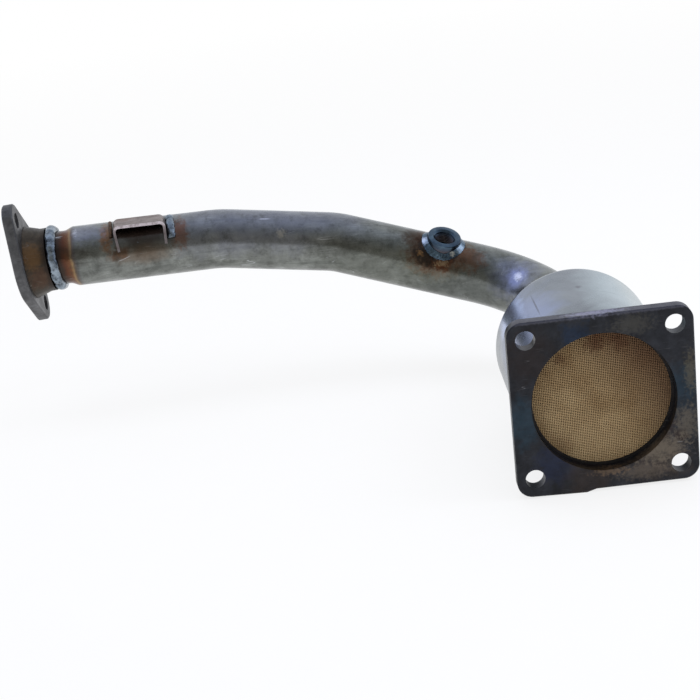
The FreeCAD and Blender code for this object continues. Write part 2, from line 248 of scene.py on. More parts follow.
def cloud(centre: Triple, reach_mm: float, code: str, strength: float, wander_mm: float, grain_mm: float,
          stretch: Triple = (1.0, 1.0, 1.0)) -> Tint:
    """One soft patch of a single colour.

    Args:
        centre: its middle, in millimetres.
        reach_mm: where it has faded out.
        code: its sRGB hex colour.
        strength: how much of the steel it covers at its middle.
        wander_mm: how far its edge wanders.
        grain_mm: the size of its edge's raggedness.
        stretch: factors on the distance along X, Y and Z; less than one makes it longer that way.
    Returns:
        The tint.
    """
    return Tint(centre, 0.0, reach_mm, ((0.0, code, strength), (0.45, code, strength * 0.85), (1.0, code, 0.0)),
                wander_mm, grain_mm, stretch)


@dataclass(frozen=True)
class SteelFinish:
    """Bare steel: mottled from dark to light, marked by its making, coloured by heat, worn, and in places given
    painted highlights and shade.

    Streaks follow the lay, and soot lies in spots. Each _mm is the size of its pattern or the depth of its relief,
    and each _amount is how much of the steel it covers.
    """

    name: str
    dark: str
    light: str
    metallic: float = 1.0
    roughness: tuple[float, float] = (0.22, 0.38)
    mottle_mm: float = 22.0
    lay: Lay = Lay.NONE
    lay_depth: float = 0.25
    lay_mm: float = 1.2
    streak: str = "#3C3E3E"
    streak_amount: float = 0.0
    streak_mm: float = 7.0
    scratch: str = "#D8DCE2"
    scratch_amount: float = 0.2
    scratch_mm: float = 9.0
    soot: str = "#1B1A1A"
    soot_amount: float = 0.0
    soot_mm: float = 6.0
    dent_mm: float = 0.0
    dent_depth_mm: float = 1.2
    grain_mm: float = 0.25
    relief_mm: float = 0.1
    bump: float = 0.12
    tints: tuple[Tint, ...] = ()

    @cache
    def build(self) -> Material:
        """Makes the material, once for all the pieces that take it.

        Returns:
            A material on Object coordinates, in millimetres.
        """
        material, tree, shader = blank_material(self.name)
        in_mm = surface_mm(tree)
        drawn = add(tree, VECTOR_MATH, {0: in_mm, 1: self.lay.value}, operation="MULTIPLY")

        # broad mottling of the oxide skin, crossed by the fine lines of drawing, spinning or rolling
        mottle = add(tree, NOISE, {
            "Vector": in_mm, "Scale": 1 / self.mottle_mm, "Detail": 7.0, "Roughness": 0.66, "Distortion": 0.35})
        skin = add(tree, MAP_RANGE, {"Value": mottle, "From Min": 0.34, "From Max": 0.66})
        lines = add(tree, NOISE, {"Vector": drawn, "Scale": 1 / self.lay_mm, "Detail": 3.0, "Roughness": 0.7})
        blend = add(tree, MIX, {0: self.lay_depth, 2: skin, 3: lines}, data_type="FLOAT")
        colour = add(tree, MIX, {0: blend, FIRST: linear(self.dark), SECOND: linear(self.light)}, **RGBA)
        colour = self.spotted(tree, drawn, colour, self.streak, self.streak_amount, self.streak_mm)
        for tint in self.tints:
            colour = tint.laid_over(tree, in_mm, colour)
        colour = self.spotted(tree, in_mm, colour, self.soot, self.soot_amount, self.soot_mm)
        marks = self.scratches(tree, in_mm)
        worn = add(tree, MIX, {0: marks, FIRST: colour, SECOND: linear(self.scratch)}, **RGBA)

        # paler metal is glossier, and the lines, the grain and the scratches stand in relief over any dents
        low, high = self.roughness
        gloss = add(tree, MAP_RANGE, {"Value": blend, "To Min": high, "To Max": low})
        grain = add(tree, NOISE, {"Vector": in_mm, "Scale": 1 / self.grain_mm, "Detail": 2.0})
        relief = add(tree, MATH, {0: lines, 1: grain}, operation="ADD")
        height = add(tree, MATH, {0: relief, 1: marks}, operation="SUBTRACT")
        bumps = {"Height": height, "Strength": self.bump, "Distance": self.relief_mm * MM}
        if self.dent_mm:
            waves = add(tree, NOISE, {"Vector": in_mm, "Scale": 1 / self.dent_mm, "Detail": 1.0})
            bumps["Normal"] = add(tree, BUMP, {
                "Height": waves, "Strength": 0.3, "Distance": self.dent_depth_mm * MM})
        normal = add(tree, BUMP, bumps)
        fill(shader, {"Metallic": self.metallic, "Base Color": worn, "Roughness": gloss, "Normal": normal})
        return material

    @staticmethod
    def spotted(tree: NodeTree, where: NodeSocket, colour: NodeSocket, code: str, amount: float,
                size_mm: float) -> NodeSocket:
        """Lays ragged spots of one colour over another.

        Args:
            tree: the material's tree.
            where: the place that the spots are laid by, in millimetres.
            colour: the colour below.
            code: the spots' sRGB hex colour.
            amount: how much of the colour below they cover.
            size_mm: their size.
        Returns:
            The spotted colour's socket, or the colour below if there are none.
        """
        if not amount:
            return colour
        noise = add(tree, NOISE, {"Vector": where, "Scale": 1 / size_mm, "Detail": 5.0, "Roughness": 0.7})
        share = add(tree, MAP_RANGE, {"Value": noise, "From Min": 0.50, "From Max": 0.68, "To Max": amount})
        return add(tree, MIX, {0: share, FIRST: colour, SECOND: linear(code)}, **RGBA)

    def scratches(self, tree: NodeTree, in_mm: NodeSocket) -> NodeSocket:
        """Short straight handling marks: the crests of two long, thin noises, shown only here and there.

        Args:
            tree: the material's tree.
            in_mm: the surface's place in millimetres.
        Returns:
            How strong a mark is at each spot.
        """
        marks = 0.0
        for turn in (0.35, 1.9):
            bent = add(tree, "ShaderNodeMapping", {
                "Vector": in_mm, "Rotation": (turn, turn * 0.6, turn), "Scale": (0.04, 1.0, 1.0)})
            wave = add(tree, NOISE, {"Vector": bent, "Scale": 1 / self.scratch_mm, "Detail": 0.0})
            offset = add(tree, MATH, {0: wave, 1: 0.5}, operation="SUBTRACT")
            thin = add(tree, MATH, {0: offset}, operation="ABSOLUTE")
            line = add(tree, MAP_RANGE, {"Value": thin, "From Max": 0.004, "To Min": 1.0, "To Max": 0.0})
            marks = add(tree, MATH, {0: marks, 1: line}, operation="MAXIMUM")
        gate = add(tree, NOISE, {"Vector": in_mm, "Scale": 0.6 / self.scratch_mm, "Detail": 2.0})
        seen = add(tree, MAP_RANGE, {
            "Value": gate, "From Min": 0.54, "From Max": 0.66, "To Max": self.scratch_amount})
        return add(tree, MATH, {0: marks, 1: seen}, operation="MULTIPLY")


@dataclass(frozen=True)
class CeramicFinish:
    """Washcoated cordierite: dry and tan, with painted shade darkening it down its channels, and rusty blotches.

    It turns brown by its lean, so much a millimetre along X, Y and Z, and its clouds add up through a set range;
    this brown is partly stain and partly painted shade.
    A blotch is a place along X and Z, a reach and a strength.
    """

    name: str = "washcoated_cordierite"
    pale: str = "#C6AA7E"
    deep: str = "#A68860"
    brown: str = "#7E6148"
    shade: str = "#5A4834"
    blotch: str = "#5E3524"
    face_mm: float = 11.5
    channel_mm: float = 2.5
    cloud_mm: float = 30.0
    grit_mm: float = 0.3
    lip_mm: float = 0.1
    relief_mm: float = 0.05
    lean: Triple = (0.65, 0.0, 0.45)
    cloudiness: float = 24.0
    stain_and_shade_range: tuple[float, float] = (14.0, 44.0)
    stain_and_shade_amount: float = 0.9
    wander_mm: float = 3.5
    grain_mm: float = 3.0
    blotches: tuple[tuple[float, float, float, float], ...] = (
        (-3.0, 40.0, 9.0, 0.6), (15.0, 38.5, 9.0, 0.5), (-28.0, 31.0, 6.0, 0.45),
        (6.0, 49.0, 15.0, 0.45), (-34.0, -34.0, 14.0, 0.2), (30.0, 28.0, 16.0, 0.2))

    def build(self) -> Material:
        """Makes the material.

        Returns:
            A matt material whose colour falls off with depth below the face, as painted shade down the channels.
        """
        material, tree, shader = blank_material(self.name)
        in_mm = surface_mm(tree)
        clouds = add(tree, NOISE, {"Vector": in_mm, "Scale": 1 / self.cloud_mm, "Detail": 5.0, "Roughness": 0.6})
        patch = add(tree, MAP_RANGE, {"Value": clouds, "From Min": 0.35, "From Max": 0.65})
        colour = add(tree, MIX, {0: patch, FIRST: linear(self.deep), SECOND: linear(self.pale)}, **RGBA)
        # browner along the lean and in the clouds: partly stain, partly painted shade
        leant = add(tree, VECTOR_MATH, {0: in_mm, 1: self.lean}, "Value", operation="DOT_PRODUCT")
        spread = add(tree, MATH, {0: clouds, 1: self.cloudiness, 2: leant}, operation="MULTIPLY_ADD")
        low, high = self.stain_and_shade_range
        stain_and_shade = add(tree, MAP_RANGE, {
            "Value": spread, "From Min": low, "From Max": high, "To Max": self.stain_and_shade_amount})
        colour = add(tree, MIX, {0: stain_and_shade, FIRST: colour, SECOND: linear(self.brown)}, **RGBA)
        for x, z, reach, strength in self.blotches:
            spot = cloud((x, self.face_mm, z), reach, self.blotch, strength, self.wander_mm, self.grain_mm)
            colour = spot.laid_over(tree, in_mm, colour)
        # painted shade: darker with depth down the channels
        inward = add(tree, "ShaderNodeSeparateXYZ", {0: in_mm}, "Y")
        depth = add(tree, MAP_RANGE, {
            "Value": inward, "From Min": self.face_mm + self.lip_mm, "From Max": self.face_mm + self.channel_mm})
        colour = add(tree, MIX, {0: depth, FIRST: colour, SECOND: linear(self.shade)}, **RGBA)
        grit = add(tree, NOISE, {"Vector": in_mm, "Scale": 1 / self.grit_mm, "Detail": 3.0})
        normal = add(tree, BUMP, {"Height": grit, "Strength": 0.3, "Distance": self.relief_mm * MM})
        fill(shader, {"Base Color": colour, "Roughness": 0.9, "Specular IOR Level": 0.2, "Normal": normal})
        return material


@dataclass(frozen=True)
class MatFinish:
    """Expanding fibre mat: off-white, matt, flecked with swollen mica."""

    name: str = "expanding_fibre_mat"
    pale: str = "#D8D2C4"
    fleck: str = "#9A8B6E"
    fibres_per_m: float = 900.0
    relief_mm: float = 0.3

    def build(self) -> Material:
        """Makes the material.

        Returns:
            A matt, flecked material.
        """
        material, tree, shader = blank_material(self.name)
        place = add(tree, "ShaderNodeTexCoord", out="Object")
        fibres = add(tree, NOISE, {"Vector": place, "Scale": self.fibres_per_m, "Detail": 4.0})
        amount = add(tree, MAP_RANGE, {"Value": fibres, "From Min": 0.5, "From Max": 0.7})
        colour = add(tree, MIX, {0: amount, FIRST: linear(self.pale), SECOND: linear(self.fleck)}, **RGBA)
        normal = add(tree, BUMP, {"Height": fibres, "Strength": 0.5, "Distance": self.relief_mm * MM})
        fill(shader, {"Base Color": colour, "Roughness": 0.95, "Normal": normal})
        return material


@dataclass(frozen=True)
class FloorFinish:
    """Plain white studio floor, white to the eye and in reflections, that keeps the shadow."""

    name: str = "studio_floor"
    paper: tuple[float, float] = (0.93, 0.96)
    tooth_per_m: float = 40.0
    glow: float = 0.80
    keeps_shadow_m: float = 0.9
    all_white_m: float = 2.4

    def build(self) -> Material:
        """Makes the material.

        Returns:
            A matt white material with a share of plain white towards camera and glossy rays.
        """
        material, tree, shader = blank_material(self.name)
        place = add(tree, "ShaderNodeTexCoord", out="Object")
        tooth = add(tree, NOISE, {"Vector": place, "Scale": self.tooth_per_m, "Detail": 3.0})
        low, high = self.paper
        shade = add(tree, MAP_RANGE, {"Value": tooth, "To Min": low, "To Max": high})
        paper = add(tree, "ShaderNodeCombineColor", {0: shade, 1: shade, 2: shade})
        fill(shader, {"Base Color": paper, "Roughness": 0.9, "Specular IOR Level": 0.0})
        rays = add(tree, "ShaderNodeLightPath", out=None).outputs
        seen = add(tree, MATH, {0: rays["Is Camera Ray"], 1: rays["Is Glossy Ray"]}, operation="MAXIMUM")
        away = add(tree, VECTOR_MATH, {0: place}, "Value", operation="LENGTH")
        glow = add(tree, MAP_RANGE, {
            "Value": away, "From Min": self.keeps_shadow_m, "From Max": self.all_white_m, "To Min": self.glow})
        share = add(tree, MATH, {0: seen, 1: glow}, operation="MULTIPLY")
        white = add(tree, "ShaderNodeEmission", {"Color": WHITE, "Strength": 1.0})
        mixed = add(tree, "ShaderNodeMixShader", {0: share, 1: shader.outputs[0], 2: white})
        fill(tree.nodes["Material Output"], {"Surface": mixed})
        return material


# ---------------------------------------------------------------- mesh helpers


def new_piece(name: str, mesh: Mesh, slot: str, *nodes: str) -> Object:
    """Adds a finished mesh to the scene as a piece of the part.

    Args:
        name: the piece's name.
        mesh: its mesh, placed in the part's frame.
        slot: the record's material slot; not used.
        nodes: the CAD nodes that it stands for.
    Returns:
        The object, riding on the root body.
    """
    mesh.name = name
    piece = bpy.data.objects.new(name, mesh)
    bpy.context.scene.collection.objects.link(piece)
    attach(piece, ROOT)
    if nodes:
        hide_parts(*nodes)
    LOG.info("%s: %d faces", name, len(mesh.polygons))
    return piece


def sealed(form: bmesh.types.BMesh, name: str) -> Mesh:
    """Turns a bmesh into a plain mesh and frees it.

    Args:
        form: the bmesh.
        name: the new mesh's name.
    Returns:
        The mesh.
    """
    mesh = bpy.data.meshes.new(name)
    form.to_mesh(mesh)
    form.free()
    return mesh


def merged_copy(node: str) -> Mesh:
    """Copies a CAD node's mesh and welds its triangles, which lie loose in the node.

    Args:
        node: the CAD node's name.
    Returns:
        The welded copy.
    """
    form = bmesh.new()
    form.from_mesh(frame["nodes"][node].data)
    bmesh.ops.remove_doubles(form, verts=form.verts, dist=SAME_PLACE)
    return sealed(form, node + "_copy")


def lathe(mesh_name: str, rows: list[tuple[float, float]], count: int) -> Mesh:
    """Turns (radius, height) rows about +Y into a closed mesh.

    Args:
        mesh_name: the new mesh's name.
        rows: the outline, from the axis round to the axis again.
        count: points in each turn.
    Returns:
        The mesh, with its normals outwards.
    """
    form = bmesh.new()
    rings = []
    for radius, height in rows:
        if radius == 0:
            rings.append([form.verts.new((0, height, 0))])
            continue
        turns = [2 * math.pi * i / count for i in range(count)]
        rings.append([form.verts.new((radius * math.cos(t), height, radius * math.sin(t))) for t in turns])
    for low, high in zip(rings, rings[1:]):
        for i in range(count):
            j = (i + 1) % count
            corners = [low[i % len(low)], low[j % len(low)], high[j % len(high)], high[i % len(high)]]
            form.faces.new(list(dict.fromkeys(corners)))
    bmesh.ops.recalc_face_normals(form, faces=form.faces)
    return sealed(form, mesh_name)


def through_nodes(mesh: Mesh, tree: NodeTree, values: dict[str, object], voxel: float = 0.0) -> Mesh:
    """Runs a mesh through a geometry node tree and returns the plain result.

    Args:
        mesh: the mesh that goes in.
        tree: the tree.
        values: named inputs of the tree.
        voxel: size of a remesh before the tree, or zero for none.
    Returns:
        A new mesh with no modifiers and no instances.
    """
    carrier = bpy.data.objects.new("carrier", mesh)
    bpy.context.scene.collection.objects.link(carrier)
    if voxel:
        remesh = carrier.modifiers.new("even", "REMESH")
        remesh.mode = "VOXEL"
        remesh.voxel_size = voxel
        remesh.use_smooth_shade = True
    modifier = carrier.modifiers.new("nodes", "NODES")
    modifier.node_group = tree
    sockets = {item.name: item.identifier for item in tree.interface.items_tree
               if item.item_type == "SOCKET" and item.in_out == "INPUT"}
    for name, value in values.items():
        modifier[sockets[name]] = value
    graph = bpy.context.evaluated_depsgraph_get()
    result = bpy.data.meshes.new_from_object(carrier.evaluated_get(graph), depsgraph=graph)
    carrier.modifiers.clear()
    bpy.data.objects.remove(carrier)
    return result


def new_tree(name: str, inputs: dict[str, str]) -> tuple[NodeTree, dict[str, NodeSocket]]:
    """Starts a geometry node tree with named inputs.

    Args:
        name: the tree's name.
        inputs: input name to its kind, such as "Float".
    Returns:
        The tree, and the socket of each input by its name, with "Geometry" first.
    """
    tree = bpy.data.node_groups.new(name, "GeometryNodeTree")
    tree.interface.new_socket("Geometry", in_out="OUTPUT", socket_type="NodeSocketGeometry")
    for label, kind in {"Geometry": "Geometry", **inputs}.items():
        tree.interface.new_socket(label, in_out="INPUT", socket_type="NodeSocket" + kind)
    group = add(tree, "NodeGroupInput", out=None)
    return tree, {socket.name: socket for socket in group.outputs if socket.name}


def close_tree(tree: NodeTree, geometry: NodeSocket, material: NodeSocket) -> None:
    """Ends a tree with Realize Instances and Set Material.

    Args:
        tree: the geometry node tree.
        geometry: the socket that gives the tree's result.
        material: the socket that gives its material.
    """
    whole = add(tree, "GeometryNodeRealizeInstances", {0: geometry})
    dressed = add(tree, "GeometryNodeSetMaterial", {0: whole, "Material": material})
    add(tree, "NodeGroupOutput", {0: dressed}, out=None)


# ---------------------------------------------------------------- sub-assemblies


@dataclass
class Honeycomb:
    """The ceramic brick, with the open mouths of its square channels.

    The mouths fill a circle of reach_mm, inside a plain rim, and end clear_mm above the floor behind them.
    """

    pitch_mm: float = 1.27
    wall_mm: float = 0.30
    depth_mm: float = 2.5
    reach_mm: float = 50.6
    rim_mm: float = 0.5
    clear_mm: float = 0.02
    sewn_mm: float = 0.01
    segments: int = 96
    finish: CeramicFinish = field(default_factory=CeramicFinish)

    def tree(self) -> NodeTree:
        """Makes the node tree that lays the channel mouths over the brick's face.

        Returns:
            The tree.
        """
        tree, inputs = new_tree("channel_mouths", {
            "Pitch": "Float", "Wall": "Float", "Depth": "Float", "Reach": "Float", "Face": "Float",
            "Material": "Material"})
        brick, pitch, wall, depth, reach, face, material = inputs.values()
        across = add(tree, MATH, {0: reach, 1: pitch}, operation="DIVIDE")
        half = add(tree, MATH, {0: across}, operation="CEIL")
        gaps = add(tree, MATH, {0: half, 1: 2.0}, operation="MULTIPLY")
        count = add(tree, MATH, {0: gaps, 1: 1.0}, operation="ADD")
        width = add(tree, MATH, {0: gaps, 1: pitch}, operation="MULTIPLY")
        points = add(tree, "GeometryNodeMeshGrid", {0: width, 1: width, 2: count, 3: count})
        spot = add(tree, "GeometryNodeInputPosition")
        radius = add(tree, VECTOR_MATH, {0: spot}, "Value", operation="LENGTH")
        outside = add(tree, "FunctionNodeCompare", {0: radius, 1: reach}, operation="GREATER_THAN")
        inside = add(tree, "GeometryNodeDeleteGeometry", {0: points, 1: outside}, domain="POINT")

        # one cell: a square tile, its mouth inset by half a wall all round and sunk
        tile = add(tree, "GeometryNodeMeshGrid", {0: pitch, 1: pitch, 2: 2, 3: 2})
        lip = add(tree, "GeometryNodeExtrudeMesh", {0: tile, "Offset Scale": 0.0}, None, mode="FACES").outputs
        open_width = add(tree, MATH, {0: pitch, 1: wall}, operation="SUBTRACT")
        share = add(tree, MATH, {0: open_width, 1: pitch}, operation="DIVIDE")
        mouth = add(tree, "GeometryNodeScaleElements", {0: lip["Mesh"], 1: lip["Top"], "Scale": share})
        sink = add(tree, MATH, {0: depth, 1: -1.0}, operation="MULTIPLY")
        cell = add(tree, "GeometryNodeExtrudeMesh", {0: mouth, 1: lip["Top"], "Offset Scale": sink}, mode="FACES")

        laid = add(tree, "GeometryNodeInstanceOnPoints", {0: inside, "Instance": cell})
        solid = add(tree, "GeometryNodeRealizeInstances", {0: laid})
        sewn = add(tree, "GeometryNodeMergeByDistance", {0: solid, "Distance": self.sewn_mm * MM})
        lift = add(tree, "ShaderNodeCombineXYZ", {"Y": face})
        upright = add(tree, "GeometryNodeTransform", {
            0: sewn, "Translation": lift, "Rotation": (math.pi / 2, 0, 0)})
        join = add(tree, "GeometryNodeJoinGeometry", {0: brick}, None)
        fill(join, {0: upright})
        close_tree(tree, join.outputs[0], material)
        return tree

    def build(self) -> None:
        """Makes the brick and its channel mouths in place of the plain CAD brick."""
        low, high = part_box("catalyst_monolith")
        face, end, radius = low.y, high.y, high.x
        behind = face + self.depth_mm * MM
        skin = (self.reach_mm + self.rim_mm) * MM
        brick = lathe("brick", [(0, behind), (skin, behind), (skin, face), (radius, face), (radius, end), (0, end)],
                      self.segments)
        mesh = through_nodes(brick, self.tree(), {
            "Pitch": self.pitch_mm * MM, "Wall": self.wall_mm * MM,
            "Depth": self.depth_mm * MM - self.clear_mm * MM, "Reach": self.reach_mm * MM, "Face": face,
            "Material": self.finish.build()})
        new_piece("ceramic_honeycomb", mesh, "ceramic", "catalyst_monolith")


@dataclass
class ThreadedBoss:
    """The sensor boss: a turned ring with its thread cut and its foot shaped to the pipe.

    Its heights are measured from the pipe's axis. The foot is sunk a little in the pipe. The bore's lip has a
    small bevel, across and down, and the first thread starts lead_mm below it.
    """

    finish: SteelFinish
    pipe_run: Vector
    pipe_radius_mm: float = 25.0
    radius_mm: float = 14.2
    top_mm: float = 30.2
    foot_mm: float = 18.0
    sunk_mm: float = 0.15
    spigot_mm: float = 11.0
    bore_mm: float = 8.2
    mouth_mm: float = 9.75
    edge_mm: float = 1.0
    rounding: float = 0.3
    lip_mm: tuple[float, float] = (0.15, 0.1)
    pitch_mm: float = 1.5
    thread_mm: float = 0.8
    flank: float = 0.42
    lead_mm: float = 0.2
    seat_mm: float = 23.325
    segments: int = 72
    side_rows: int = 5
    rows_per_turn: int = 8
    sharp_degrees: float = 30.0

    def saddle(self, turn: float, radius: float) -> float:
        """Height of the pipe's surface at one turn and radius, less what the foot is sunk."""
        across = radius * math.sin(turn)
        return math.sqrt(self.pipe_radius_mm ** 2 - across ** 2) - self.sunk_mm

    def column(self, turn: float) -> list[tuple[float, float]]:
        """The boss's outline at one turn, as (radius, height) points in millimetres.

        Args:
            turn: angle round the boss's axis, from the pipe's run.
        Returns:
            The closed outline, from the outer foot up, over and down the threaded bore.
        """
        foot = self.saddle(turn, self.radius_mm)
        top, edge, round_off = self.top_mm, self.edge_mm, self.edge_mm * self.rounding
        rise = top - edge - foot
        points = [(self.radius_mm, foot + rise * i / self.side_rows) for i in range(self.side_rows + 1)]
        points += [(self.radius_mm - round_off, top - round_off), (self.radius_mm - edge, top)]
        lip_width, lip_depth = self.lip_mm
        points += [(self.mouth_mm + lip_width, top), (self.mouth_mm, top - lip_depth)]
        start = top - (self.mouth_mm - self.bore_mm)
        points.append((self.bore_mm + lip_depth, start))
        rows = int((start - self.foot_mm) / self.pitch_mm * self.rows_per_turn)
        first = start - self.lead_mm
        for row in range(rows):
            height = first - (first - self.foot_mm) * row / (rows - 1)
            phase = (height / self.pitch_mm - turn / (2 * math.pi)) % 1.0
            groove = max(0.0, 1 - abs(phase - 0.5) / self.flank)
            fade = min(1.0, (start - height) / self.pitch_mm)
            points.append((self.bore_mm + self.thread_mm * groove * fade, height))
        points += [(self.spigot_mm, self.foot_mm), (self.spigot_mm, self.saddle(turn, self.spigot_mm))]
        return points

    def build(self) -> None:
        """Makes the boss in place of the plain CAD ring."""
        place, axis = mount_at("sensor_port")
        along = (self.pipe_run - axis * self.pipe_run.dot(axis)).normalized()
        side = axis.cross(along)
        base = place - axis * self.seat_mm * MM
        form = bmesh.new()
        columns = []
        for i in range(self.segments):
            turn = 2 * math.pi * i / self.segments
            outward = along * math.cos(turn) + side * math.sin(turn)
            columns.append([form.verts.new(base + (outward * r + axis * h) * MM) for r, h in self.column(turn)])
        for here, there in zip(columns, columns[1:] + columns[:1]):
            for j in range(len(here)):
                k = (j + 1) % len(here)
                form.faces.new((here[j], here[k], there[k], there[j]))
        bmesh.ops.recalc_face_normals(form, faces=form.faces)
        for face in form.faces:
            face.smooth = True
        mesh = sealed(form, "boss")
        mesh.set_sharp_from_angle(angle=math.radians(self.sharp_degrees))
        mesh.materials.append(self.finish.build())
        new_piece("threaded_boss", mesh, "boss_steel", "sensor_boss")


@dataclass(frozen=True)
class Bead:
    """One weld bead: the CAD node it follows, the circle it runs round and its ripples."""

    node: str
    slot: str
    finish: SteelFinish
    centre: Vector
    axis: Vector
    radius_mm: float
    pitch_mm: float
    ripple_mm: float
    lump_mm: float
    lump_size_mm: float
    voxel_mm: float


@dataclass
class WeldBeads:
    """Every bead of the part, rippled and lumpy as a torch leaves it.

    The ripples stray from their even pitch, and bow back away from the bead's middle.
    """

    beads: list[Bead]
    stray: float = 5.0
    stray_per_m: float = 140.0
    bow: float = 0.04
    bow_per_m: float = 1100.0
    lump_gain: float = 4.0

    def tree(self) -> NodeTree:
        """Makes the node tree that raises ripples and lumps on a bead.

        Returns:
            The tree. Its ripples are counted by the angle round the bead's circle.
        """
        tree, inputs = new_tree("weld_ripples", {
            "Centre": "Vector", "First": "Vector", "Second": "Vector", "Axis": "Vector", "Ripples": "Float",
            "Ripple Height": "Float", "Lump Height": "Float", "Lump Scale": "Float", "Material": "Material"})
        bead, centre, *directions, ripples, ripple_height, lump_height, lump_scale, material = inputs.values()
        spot = add(tree, "GeometryNodeInputPosition")
        normal = add(tree, "GeometryNodeInputNormal")
        from_centre = add(tree, VECTOR_MATH, {0: spot, 1: centre}, operation="SUBTRACT")
        u, v, across = (
            add(tree, VECTOR_MATH, {0: from_centre, 1: way}, "Value", operation="DOT_PRODUCT")
            for way in directions)

        # half the angle times the ripples' number, so that each rise of the sine's size is one ripple
        turn = add(tree, MATH, {0: v, 1: u}, operation="ARCTAN2")
        counted = add(tree, MATH, {0: turn, 1: ripples}, operation="MULTIPLY")
        half = add(tree, MATH, {0: counted, 1: 0.5}, operation="MULTIPLY")
        bowed = add(tree, MATH, {0: across, 1: self.bow_per_m}, operation="MULTIPLY")
        squared = add(tree, MATH, {0: bowed, 1: bowed}, operation="MULTIPLY")
        bow = add(tree, MATH, {0: squared, 1: self.bow}, operation="MULTIPLY")
        wander = add(tree, NOISE, {"Vector": spot, "Scale": self.stray_per_m, "Detail": 1.0})
        loose = add(tree, MATH, {0: wander, 1: self.stray, 2: bow}, operation="MULTIPLY_ADD")
        phase = add(tree, MATH, {0: half, 1: loose}, operation="ADD")
        wave = add(tree, MATH, {0: phase}, operation="SINE")
        ridge = add(tree, MATH, {0: wave}, operation="ABSOLUTE")
        ripple = add(tree, MATH, {0: ridge, 1: ripple_height}, operation="MULTIPLY")

        noise = add(tree, NOISE, {"Vector": spot, "Scale": lump_scale, "Detail": 0.6, "Roughness": 0.4})
        centred = add(tree, MATH, {0: noise, 1: 0.5}, operation="SUBTRACT")
        swell = add(tree, MATH, {0: centred, 1: lump_height}, operation="MULTIPLY")
        lump = add(tree, MATH, {0: swell, 1: self.lump_gain}, operation="MULTIPLY")
        rise = add(tree, MATH, {0: ripple, 1: lump}, operation="ADD")
        offset = add(tree, VECTOR_MATH, {0: normal, "Scale": rise}, operation="SCALE")
        moved = add(tree, "GeometryNodeSetPosition", {0: bead, "Offset": offset})
        close_tree(tree, add(tree, "GeometryNodeSetShadeSmooth", {0: moved}), material)
        return tree

    def build(self) -> None:
        """Lays every bead in place of its plain CAD node."""
        tree = self.tree()
        for bead in self.beads:
            first, second = square_frame(bead.axis)
            mesh = through_nodes(merged_copy(bead.node), tree, {
                "Centre": bead.centre, "First": first, "Second": second, "Axis": bead.axis,
                "Ripples": float(round(2 * math.pi * bead.radius_mm / bead.pitch_mm)),
                "Ripple Height": bead.ripple_mm * MM, "Lump Height": bead.lump_mm * MM,
                "Lump Scale": 1 / (bead.lump_size_mm * MM), "Material": bead.finish.build()},
                voxel=bead.voxel_mm * MM)
            new_piece("rippled_" + bead.node, mesh, bead.slot, bead.node)


@dataclass
class Spatter:
    """Small balls of weld metal that stuck to the pipe near the beads.

    They lie thickest within thick_mm of a spot and end at reach_mm. The sizes are shares of ball_mm.
    """

    finish: SteelFinish
    spots: tuple[Vector, ...]
    reach_mm: float = 34.0
    thick_mm: float = 12.0
    density: float = 6000.0
    ball_mm: float = 0.35
    sizes: tuple[float, float] = (0.4, 1.6)
    seed: int = 7

    def tree(self) -> NodeTree:
        """Makes the node tree that scatters the balls.

        Returns:
            The tree. Balls fall only within reach of one spot.
        """
        tree, inputs = new_tree("weld_spatter", {
            "Spot": "Vector", "Reach": "Float", "Density": "Float", "Ball": "Float", "Seed": "Int",
            "Material": "Material"})
        pipe, spot, reach, density, ball, seed, material = inputs.values()
        place = add(tree, "GeometryNodeInputPosition")
        away = add(tree, VECTOR_MATH, {0: place, 1: spot}, "Value", operation="DISTANCE")
        near = add(tree, MAP_RANGE, {"Value": away, "From Min": reach, "From Max": self.thick_mm * MM})
        points = add(tree, "GeometryNodeDistributePointsOnFaces", {
            0: pipe, "Density": density, "Seed": seed}, distribute_method="RANDOM")

        # one draw gives both the size and the flight, so small balls fly farther than large ones
        draw = add(tree, "FunctionNodeRandomValue", {2: 0.0, 3: 1.0, "Seed": seed}, 1, data_type="FLOAT")
        low, high = self.sizes
        size = add(tree, MAP_RANGE, {"Value": draw, "To Min": low, "To Max": high})
        kept = add(tree, "FunctionNodeCompare", {0: near, 1: draw}, operation="GREATER_THAN")
        ball_mesh = add(tree, "GeometryNodeMeshIcoSphere", {"Radius": ball, "Subdivisions": 2})
        laid = add(tree, "GeometryNodeInstanceOnPoints", {
            0: points, "Selection": kept, "Instance": ball_mesh, "Scale": size})
        whole = add(tree, "GeometryNodeRealizeInstances", {0: laid})
        close_tree(tree, add(tree, "GeometryNodeSetShadeSmooth", {0: whole}), material)
        return tree

    def build(self) -> None:
        """Scatters the balls round each spot, one piece for each."""
        tree = self.tree()
        for number, spot in enumerate(self.spots, 1):
            mesh = through_nodes(merged_copy("downpipe"), tree, {
                "Spot": spot, "Reach": self.reach_mm * MM, "Density": self.density, "Ball": self.ball_mm * MM,
                "Seed": self.seed + number, "Material": self.finish.build()})
            new_piece(f"weld_spatter_{number}", mesh, "bright_weld")


@dataclass
class SteelWork:
    """The CAD nodes that keep their own shape, each with its finish."""

    finishes: dict[str, SteelFinish | MatFinish]

    def dress(self) -> None:
        """Puts each finish into its node's material slots."""
        for node, finish in self.finishes.items():
            data = frame["nodes"][node].data
            data.materials.clear()
            data.materials.append(finish.build())
            LOG.info("%s: %s", node, finish.name)


# ---------------------------------------------------------------- studio


